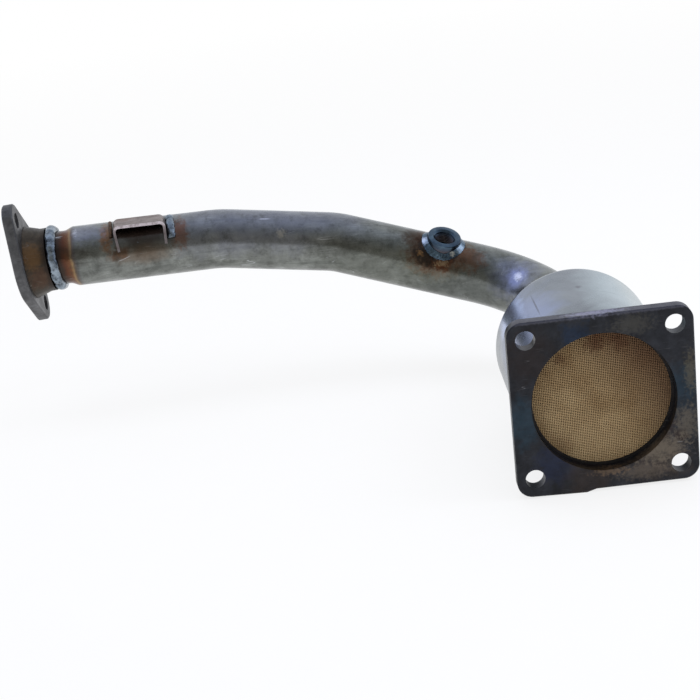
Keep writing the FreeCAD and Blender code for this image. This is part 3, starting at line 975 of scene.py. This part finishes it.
@dataclass
class Studio:
    """Floor, dome, lamps and camera, in metres.

    The dome that metal shows is a plain studio: white behind the part and overhead, dim on the camera's side.
    A lamp is its name, its place, its two sides and its power in watts.
    """

    floor_radius: float = 4.0
    floor_sides: int = 96
    dome_level: float = 0.82
    dome_colour: str = "#F6F8FF"
    dim: str = "#A4A29C"
    dusk: str = "#9DA0A2"
    sky: str = "#DCE4F6"
    far_sky: str = "#F4F8FF"
    lamps: tuple[tuple[str, Triple, tuple[float, float], float], ...] = (
        ("ceiling", (-0.20, 0.35, 1.30), (1.6, 0.60), 5.0),
        ("side", (0.75, -0.10, 0.85), (0.5, 0.5), 3.0))
    lamp_aim: Triple = (-0.2, 0.2, 0.0)
    lamp_colour: str = "#E9EFFF"
    lens_mm: float = 87.31
    sensor_mm: float = 36.0
    nearest: float = 0.01
    position: Triple = (-0.18188, -1.09679, 0.44319)
    aim: Triple = (-0.17038, 0.2, -0.00972)
    roll_degrees: float = -6.446

    def build(self) -> None:
        """Sets up everything that isn't the part."""
        self.lay_floor()
        self.hang_dome()
        for name, place, size, energy in self.lamps:
            self.hang_lamp(name, place, size, energy)
        self.set_camera()
        bpy.context.scene.view_settings.view_transform = "Standard"

    def lay_floor(self) -> None:
        """Lays the floor at the part's lowest point."""
        bottom = CAD_BOX[0][2]
        form = bmesh.new()
        bmesh.ops.create_circle(form, cap_ends=True, segments=self.floor_sides, radius=self.floor_radius,
                                matrix=Matrix.Translation((0, 0, bottom)))
        mesh = sealed(form, "floor")
        mesh.materials.append(FloorFinish().build())
        floor = bpy.data.objects.new("floor", mesh)
        bpy.context.scene.collection.objects.link(floor)

    def hang_dome(self) -> None:
        """Lights evenly from all round, and gives metal a studio to show: see the class."""
        world = bpy.data.worlds.new("dome")
        bpy.context.scene.world = world
        world.use_nodes = True
        tree = world.node_tree
        way = add(tree, "ShaderNodeTexCoord", out="Generated")
        ahead = add(tree, "ShaderNodeSeparateXYZ", {0: way}, "Y")
        back = add(tree, MATH, {0: ahead, 1: 0.5, 2: 0.5}, operation="MULTIPLY_ADD")
        studio = add(tree, "ShaderNodeValToRGB", {0: back}, stops=(
            (0.0, self.dim, 1.0), (0.05, self.dim, 1.0), (0.16, self.dusk, 1.0), (0.50, self.sky, 1.0),
            (0.85, self.far_sky, 1.0)))
        shown = add(tree, "ShaderNodeBackground", {"Color": studio, "Strength": 1.0})
        even = tree.nodes["Background"]
        fill(even, {"Color": linear(self.dome_colour), "Strength": self.dome_level})
        white = add(tree, "ShaderNodeBackground", {"Color": WHITE, "Strength": 1.0})
        rays = add(tree, "ShaderNodeLightPath", out=None).outputs
        mirrored = add(tree, MATH, {0: rays["Is Glossy Ray"], 1: rays["Is Transmission Ray"]}, operation="MAXIMUM")
        lit = add(tree, "ShaderNodeMixShader", {0: mirrored, 1: even.outputs[0], 2: shown})
        mixed = add(tree, "ShaderNodeMixShader", {0: rays["Is Camera Ray"], 1: lit, 2: white})
        fill(tree.nodes["World Output"], {"Surface": mixed})

    @staticmethod
    def looking(place: Triple, aim: Triple, roll_degrees: float = 0.0) -> Matrix:
        """Where a lamp or camera stands and which way it looks.

        Args:
            place: where it stands.
            aim: the point that it looks at.
            roll_degrees: how far it is turned about its line of sight.
        Returns:
            Its world matrix.
        """
        ahead = (Vector(aim) - Vector(place)).normalized()
        turned = ahead.to_track_quat("-Z", "Y") @ Quaternion((0, 0, 1), math.radians(roll_degrees))
        return Matrix.Translation(place) @ turned.to_matrix().to_4x4()

    def hang_lamp(self, name: str, place: Triple, size: tuple[float, float], energy: float) -> None:
        """Hangs one soft lamp that looks at the part.

        Args:
            name: the lamp's name.
            place: where it hangs.
            size: its two sides in metres.
            energy: its power in watts.
        """
        lamp = bpy.data.lights.new(name, "AREA")
        lamp.shape = "RECTANGLE"
        lamp.size, lamp.size_y = size
        lamp.energy = energy
        lamp.color = linear(self.lamp_colour)[:3]
        holder = bpy.data.objects.new(name, lamp)
        holder.visible_glossy = False  # metal shows the dome's sky in its place
        holder.matrix_world = self.looking(place, self.lamp_aim)
        bpy.context.scene.collection.objects.link(holder)

    def set_camera(self) -> None:
        """Stands the camera in front of the inlet, a little above it."""
        data = bpy.data.cameras.new("camera")
        data.lens = self.lens_mm
        data.sensor_width = self.sensor_mm
        data.clip_start = self.nearest
        camera = bpy.data.objects.new("camera", data)
        camera.matrix_world = self.looking(self.position, self.aim, self.roll_degrees)
        bpy.context.scene.collection.objects.link(camera)
        bpy.context.scene.camera = camera


# ---------------------------------------------------------------- the part

PIPE_RUN_AT_BOSS = Vector((0.94223, -0.15823, -0.29503)).normalized()
PIPE_RUN_AT_BRACKET = Vector((0.99519, 0.09601, -0.01962)).normalized()
PIPE_RADIUS = 25 * MM
CAN_AXIS = Vector((0, 1, 0))

# the bracket's mount lies off the pipe's axis and off its own near edge
STRIP = 2.3 * MM
MOUNT_SHIFT_MM = 12.5
TO_PIPE_AXIS = (-0.1, 1.0, 0.0)
TO_NEAR_EDGE = (0.096, -0.995, 0.0)


CAN = SteelFinish(
    "spun_stainless", "#686E75", "#858B91", roughness=(0.20, 0.32), mottle_mm=45.0, lay=Lay.ROUND_Y,
    lay_depth=0.3, lay_mm=0.9, scratch="#5A5E66", scratch_amount=0.5, scratch_mm=10.0, bump=0.06, dent_mm=70.0,
    tints=(
        # painted reflections: pale up to the right, blue on the left, and a bright blue painted highlight
        cloud((42.0, 80.0, 50.0), 52.0, "#B1BFC3", 0.9, 8.0, 40.0, (1.0, 0.5, 1.0)),
        cloud((-46.0, 60.0, 38.0), 40.0, "#8C98BC", 0.8, 8.0, 30.0, (1.0, 0.5, 1.0)),
        cloud((-49.0, 110.0, 34.0), 17.0, "#C2D2FA", 0.85, 3.0, 12.0, (1.0, 0.35, 1.0)),
        cloud((-1.0, 81.0, 60.0), 3.2, "#4A4650", 0.7, 1.5, 2.0),
        # painted shade of a thin crease along the can's left
        cloud((-33.0, 80.0, 50.0), 5.0, "#3F4150", 0.75, 0.6, 4.0, (7.0, 0.18, 0.7)),
        cloud((-14.0, 42.0, 57.0), 5.0, "#6A6C78", 0.6, 0.8, 5.0, (0.3, 7.0, 0.5)),
        cloud((20.0, 70.0, 56.0), 6.0, "#747880", 0.5, 0.8, 5.0, (0.25, 8.0, 0.5))))
RING = SteelFinish("sooted_ring", "#1C1B1C", "#34302E", metallic=0.7, roughness=(0.5, 0.7), mottle_mm=12.0)
OUTLET_PLATE = SteelFinish(
    "oxidised_outlet_plate", "#454546", "#6A6A6C", metallic=0.85, roughness=(0.36, 0.55), mottle_mm=12.0,
    scratch_amount=0.25, soot="#2E2D2E", soot_amount=0.4, soot_mm=7.0, bump=0.25, grain_mm=0.6)
BRIGHT_WELD = SteelFinish(
    "silver_weld_metal", "#434B54", "#9EABB7", roughness=(0.12, 0.26), mottle_mm=7.0, scratch_amount=0.0,
    soot="#22262A", soot_amount=0.9, soot_mm=4.5, bump=0.05)
BLUE_WELD = SteelFinish(
    "blue_weld_metal", "#3A4652", "#62788A", roughness=(0.18, 0.32), mottle_mm=7.0, scratch_amount=0.0,
    soot="#20242A", soot_amount=0.5, soot_mm=5.0, bump=0.12, tints=(
        # painted highlights on the weld, left and right of the boss
        cloud((-98.5, 275.5, 53.0), 5.5, "#C8D8F4", 0.95, 1.5, 3.0),
        cloud((-69.5, 271.0, 43.5), 6.0, "#CBE0F2", 0.95, 1.5, 3.0),
        cloud((-76.0, 266.0, 41.5), 3.0, "#DDDCD0", 0.9, 1.0, 2.0)))
RUSTY_WELD = SteelFinish(
    "rusty_weld_metal", "#3E332C", "#6A5442", roughness=(0.3, 0.45), mottle_mm=4.0, scratch_amount=0.0,
    soot="#5A3A22", soot_amount=0.7, soot_mm=4.0, bump=0.2)
DARK_WELD = SteelFinish(
    "scaled_weld_metal", "#3A3531", "#6B655F", roughness=(0.3, 0.5), mottle_mm=5.0, scratch_amount=0.0,
    soot_amount=0.6, soot_mm=4.0, bump=0.3)


def pipe_finish() -> SteelFinish:
    """The drawn pipe with the heat tints of its boss, bracket and swage, a painted sheen along its top and on the
    swage, and painted highlights at the swage and at the bend by the neck, where a bluish sheen is partly temper
    colour.

    Returns:
        The finish.
    """
    boss_heat = Tint((-87.0, 271.0, 45.0), 9.0, 33.0, (
        (0.0, "#2A201C", 0.95), (0.30, "#3A2C25", 0.9), (0.44, "#5A4230", 0.8), (0.60, "#665440", 0.5),
        (0.80, "#62604E", 0.25), (1.0, "#6F7468", 0.0)), 5.0, 4.5, (0.9, 1.0, 1.15))
    outwards = (-1.0, 0.0177, -0.068)
    swage_heat = Tint((-390.5, 288.0, 70.0), -6.0, 9.0, (
        (0.0, "#4B4C58", 0.0), (0.26, "#5C4A3E", 0.7), (0.38, "#94764F", 0.8), (0.50, "#6E472C", 0.88),
        (0.75, "#5A3524", 0.92), (1.0, "#33241E", 0.9)), 0.9, 14.0, along=outwards)
    return SteelFinish(
        "drawn_pipe_steel", "#5E605D", "#8F928E", roughness=(0.17, 0.30), mottle_mm=15.0, lay=Lay.ALONG_X,
        lay_depth=0.35, lay_mm=1.6, streak="#4A4E4B", streak_amount=0.55, streak_mm=6.0, scratch_amount=0.5,
        scratch_mm=9.0, soot="#3A3B36", soot_amount=0.45, soot_mm=8.0, dent_mm=24.0, bump=0.12,
        tints=(
            # painted sheen along the pipe's top
            cloud((-225.0, 300.0, 86.0), 60.0, "#7D8096", 0.45, 10.0, 20.0, (0.5, 1.0, 1.6)),
            # painted highlight at the bend, in a bluish sheen that is partly temper colour by the neck weld
            cloud((-28.0, 244.0, 22.0), 27.0, "#8288A8", 0.5, 5.0, 7.0),
            cloud((-26.0, 243.0, 22.0), 12.0, "#9CA6DC", 0.6, 2.0, 5.0),
            cloud((-25.2, 242.1, 22.2), 4.5, "#E2E6FC", 0.85, 0.6, 2.0, (1.0, 0.7, 1.0)),
            cloud((-140.0, 270.0, 26.0), 40.0, "#585C50", 0.35, 9.0, 6.0, (0.5, 1.0, 1.0)),
            cloud((-66.0, 260.0, 8.0), 34.0, "#4E5250", 0.5, 8.0, 6.0, (0.55, 1.0, 1.0)),
            boss_heat,
            cloud((-104.0, 282.0, 57.0), 15.0, "#36271F", 0.8, 5.0, 4.0),
            cloud((-61.0, 265.0, 36.0), 14.0, "#644430", 0.75, 5.0, 3.5, (0.9, 1.0, 1.0)),
            cloud((-86.0, 263.0, 35.0), 7.0, "#6E4228", 0.65, 3.0, 3.0, (0.6, 1.0, 1.0)),
            cloud((-102.5, 268.1, 44.7), 3.0, "#9A7650", 0.7, 2.5, 1.4),
            cloud((-86.0, 263.0, 35.0), 3.0, "#B8A080", 0.65, 2.6, 1.2, (0.5, 1.0, 1.0)),
            cloud((-331.0, 280.0, 88.0), 29.0, "#3A2F29", 0.9, 3.0, 9.0, (0.95, 1.0, 1.0)),
            cloud((-361.0, 276.0, 88.0), 10.0, "#7C5430", 0.8, 3.5, 3.5, (1.5, 0.55, 0.55)),
            cloud((-300.0, 279.0, 84.0), 12.0, "#6C4630", 0.8, 4.0, 3.5, (1.4, 0.7, 0.7)),
            cloud((-351.0, 268.0, 73.0), 8.0, "#4F3322", 0.9, 2.5, 5.0, (0.8, 1.0, 1.0)),
            cloud((-330.0, 267.0, 70.0), 17.0, "#6B5642", 0.5, 3.0, 7.0, (0.5, 1.0, 1.6)),
            # painted sheen and a painted highlight on the swage's top
            cloud((-379.0, 281.0, 92.0), 15.0, "#8A8CA2", 0.45, 5.0, 5.0, (0.7, 1.0, 1.0)),
            cloud((-387.0, 281.0, 90.0), 4.5, "#D8DAE6", 0.7, 1.2, 2.5, (1.4, 0.7, 0.7)),
            cloud((-229.0, 288.5, 84.0), 13.0, "#C4C6D6", 0.75, 0.3, 3.0, (0.9, 14.0, 14.0)),
            cloud((-216.1, 279.4, 72.6), 4.5, "#B4AFA6", 0.6, 2.0, 2.0),
            cloud((-172.0, 276.5, 55.0), 24.0, "#4A4B46", 0.6, 4.0, 3.0, (0.7, 2.5, 2.5)),
            cloud((-385.0, 272.0, 75.0), 11.0, "#3C3833", 0.6, 4.0, 6.0),
            swage_heat))


def flange_finish() -> SteelFinish:
    """The inlet plate: almost black, teal beside its opening, brown and scuffed at its lower right, with a painted
    highlight and a painted glint along its top edge.

    Returns:
        The finish.
    """
    tempered = [cloud(place, reach, code, strength, 8.0, 9.0) for place, reach, code, strength in (
        ((-50.0, 0.0, 38.0), 24.0, "#2A2220", 0.65), ((-57.0, 0.0, -8.0), 22.0, "#263C4A", 0.6),
        ((-38.0, 0.0, -44.0), 18.0, "#202840", 0.6), ((-17.0, 0.0, 52.0), 12.0, "#1C2C42", 0.65),
        ((54.0, 0.0, 4.0), 20.0, "#243846", 0.6), ((-15.0, 0.0, -56.0), 20.0, "#352B25", 0.6),
        ((38.0, 0.0, -44.0), 24.0, "#3E352F", 0.7), ((50.0, 0.0, -30.0), 9.0, "#2E2320", 0.6))]
    worn = [cloud(place, reach, code, strength, 7.0, 2.6, stretch) for place, reach, code, strength, stretch in (
        ((38.0, 0.0, -40.0), 17.0, "#7E7466", 0.55, (0.8, 1.0, 1.3)),
        ((26.0, 0.0, -55.0), 16.0, "#6A5F54", 0.5, (0.6, 1.0, 2.0)),
        ((57.0, 0.0, -22.0), 13.0, "#6E665A", 0.5, (1.3, 1.0, 0.8)),
        ((61.0, 0.0, 16.0), 13.0, "#66604F", 0.45, (2.4, 1.0, 0.7)),
        ((2.0, 0.0, -52.5), 9.0, "#74604C", 0.5, (0.6, 1.0, 2.5)),
        ((22.0, 0.0, 55.0), 15.0, "#4E4C46", 0.5, (0.8, 1.0, 1.6)))]
    # painted highlight along the plate's top edge, and a painted glint on it
    rim = Tint((0.0, 0.0, 62.6), 0.0, 1.2, ((0.0, "#4A4B55", 0.0), (1.0, "#54545F", 0.7)), 0.6, 3.0,
               along=(0.0, 0.0, 1.0))
    glint = cloud((-2.0, 5.0, 65.0), 9.0, "#9C9CB6", 0.7, 3.0, 2.5, (0.35, 1.6, 2.0))
    return SteelFinish(
        "blued_flange_plate", "#1D1E22", "#303238", metallic=0.75, roughness=(0.34, 0.55), mottle_mm=14.0,
        scratch="#8C8C90", scratch_amount=0.35, scratch_mm=6.0, soot="#1B1A1C", soot_amount=0.5, soot_mm=5.0,
        bump=0.25, grain_mm=0.6, tints=(*tempered, *worn, rim, glint))


def main() -> None:
    """Builds and dresses the whole part, then the studio."""
    logging.basicConfig(level=logging.INFO, format="%(name)s %(message)s")
    boss, boss_axis = mount_at("sensor_port")
    web, web_normal = mount_at("bracket_face")
    mouth, _ = mount_at("outlet_mouth")
    _, outlet_axis = mount_at("outlet_face")
    collar, bracket = middle("collar_weld"), middle("mounting_bracket")
    under_bracket = web - web_normal * (PIPE_RADIUS + STRIP) + Vector(TO_PIPE_AXIS) * MOUNT_SHIFT_MM * MM
    boss_steel = SteelFinish(
        "turned_boss_steel", "#2E3A4A", "#566A7A", roughness=(0.2, 0.34), mottle_mm=9.0, scratch_amount=0.3,
        scratch_mm=5.0, bump=0.12, tints=(
            Tint(as_mm(boss), -12.0, 6.0, ((0.0, "#544C48", 0.9), (0.7, "#4C4446", 0.85), (1.0, "#3C4454", 0.0)),
                 0.8, 6.0, along=tuple(boss_axis)),))
    bracket_steel = SteelFinish(
        "rolled_bracket_strip", "#63544F", "#94857F", metallic=0.9, roughness=(0.3, 0.5), mottle_mm=8.0,
        scratch_amount=0.3, soot="#4A3A34", soot_amount=0.55, soot_mm=4.0, bump=0.25, tints=(
            cloud((-345.0, 292.0, 97.0), 12.0, "#6E5246", 0.7, 4.0, 5.0),
            # painted highlight along the bracket's near edge
            Tint(as_mm(web + Vector(TO_NEAR_EDGE) * MOUNT_SHIFT_MM * MM), -1.2, 0.0, (
                (0.0, "#C8BCBE", 0.0), (1.0, "#D4CBD2", 0.9)), 0.3, 3.0, along=TO_NEAR_EDGE),
            Tint(as_mm(web), 2.4, 9.0, ((0.0, "#5A463E", 0.0), (0.3, "#4A4038", 0.6), (1.0, "#3A332D", 0.8)),
                 1.0, 6.0, along=tuple(-web_normal))))
    collar_steel = SteelFinish(
        "scaled_collar_steel", "#2C2823", "#4A4238", metallic=0.85, roughness=(0.32, 0.5), mottle_mm=8.0,
        bump=0.25, tints=(
            # the collar's golden middle: partly heat colour, partly a painted highlight down its curve
            cloud((-423.0, 263.0, 82.0), 14.0, "#6C5238", 0.45, 4.0, 3.0),
            cloud((-423.0, 262.0, 82.0), 10.0, "#80603E", 0.45, 3.0, 2.5, (1.0, 1.0, 0.7)),
            cloud((-417.0, 263.0, 62.0), 14.0, "#543A2C", 0.5, 4.0, 3.0),
            Tint(as_mm(collar), 1.5, 9.0, ((0.0, "#24201F", 0.9), (0.6, "#2E2723", 0.7), (1.0, "#3A322A", 0.0)),
                 0.8, 8.0, along=tuple(outlet_axis))))

    SteelWork({
        "inlet_flange": flange_finish(), "can_shell": CAN, "downpipe": pipe_finish(),
        "mounting_bracket": bracket_steel, "inlet_end_ring": RING, "outlet_end_ring": RING,
        "outlet_collar": collar_steel, "outlet_flange": OUTLET_PLATE, "support_mat": MatFinish()}).dress()
    Honeycomb().build()
    ThreadedBoss(boss_steel, PIPE_RUN_AT_BOSS).build()

    # the numbers are the circle's radius, the ripples' pitch and height, the lumps' height and size, and the voxel
    WeldBeads([
        Bead("collar_weld", "bright_weld", BRIGHT_WELD, collar, outlet_axis, 25.0, 5.0, 0.20, 0.55, 8.0, 0.5),
        Bead("sensor_boss_weld", "boss_weld", BLUE_WELD, boss, boss_axis, 17.0, 3.0, 0.10, 0.30, 7.0, 0.4),
        Bead("bracket_weld_inner", "bright_weld", BRIGHT_WELD, under_bracket, PIPE_RUN_AT_BRACKET,
             27.0, 4.6, 0.20, 0.4, 7.0, 0.4),
        Bead("bracket_weld_outer", "bright_weld", RUSTY_WELD, under_bracket, PIPE_RUN_AT_BRACKET,
             26.0, 2.0, 0.12, 0.15, 3.0, 0.3),
        Bead("neck_weld", "dark_weld", DARK_WELD, middle("neck_weld"), CAN_AXIS, 26.0, 2.6, 0.25, 0.4, 5.0, 0.5),
        Bead("inlet_flange_weld", "dark_weld", DARK_WELD, middle("inlet_flange_weld"), CAN_AXIS,
             62.0, 2.8, 0.25, 0.4, 5.0, 0.6),
        Bead("outlet_flange_weld", "dark_weld", DARK_WELD, mouth, outlet_axis, 29.0, 2.2, 0.15, 0.15, 4.0, 0.35),
    ]).build()
    Spatter(BRIGHT_WELD, (boss + boss_axis * MM, bracket, collar)).build()
    Studio().build()


if __name__ == "__main__":
    main()
